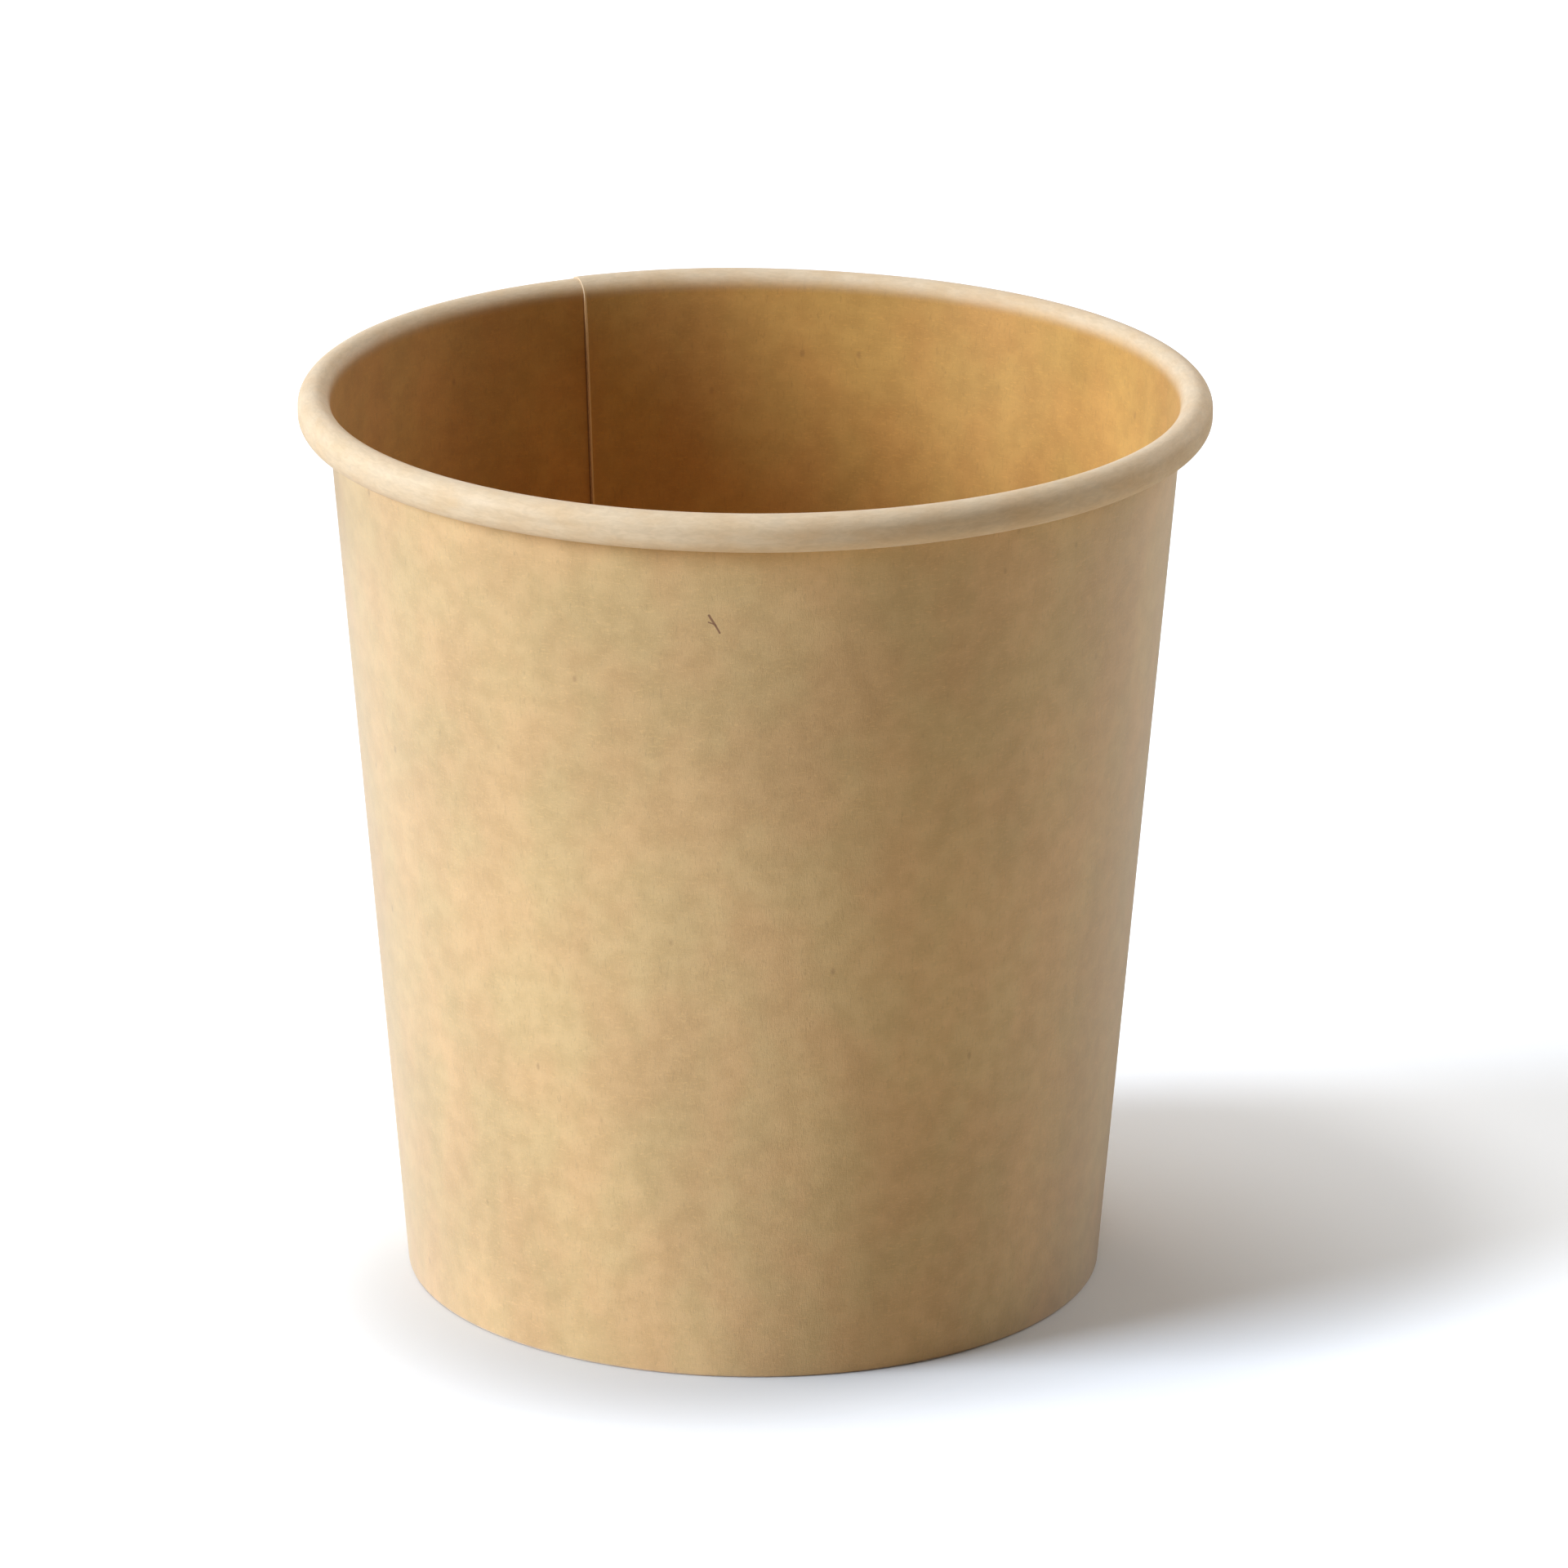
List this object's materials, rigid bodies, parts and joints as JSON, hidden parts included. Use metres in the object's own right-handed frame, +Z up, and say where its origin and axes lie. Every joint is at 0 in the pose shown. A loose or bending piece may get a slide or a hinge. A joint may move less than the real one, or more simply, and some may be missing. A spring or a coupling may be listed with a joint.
{
  "type": "paper soup cup",
  "caption": "Open tapered paper soup cup with an outward rolled rim, a lapped side seam and a separate flat bottom disc held up inside its folded foot.",
  "frame": {"origin": "on the table under the cup's axis, at the middle of the foot's ring", "axes": "+Z up along the cup's axis, from the foot to the mouth; the lapped seam's inner edge stands at 115 degrees from +X, at the back"},
  "size_m": [0.098, 0.0982, 0.0993],
  "materials": {
    "sidewall_board": "unbleached kraft board, matt outside, thin clear coating with a satin sheen inside",
    "disc_board": "unbleached kraft board with a satin coating on its upper side"
  },
  "bodies": {
    "root": {"sidewall": "sidewall_board", "bottom_disc": "disc_board"}
  },
  "joints": []
}
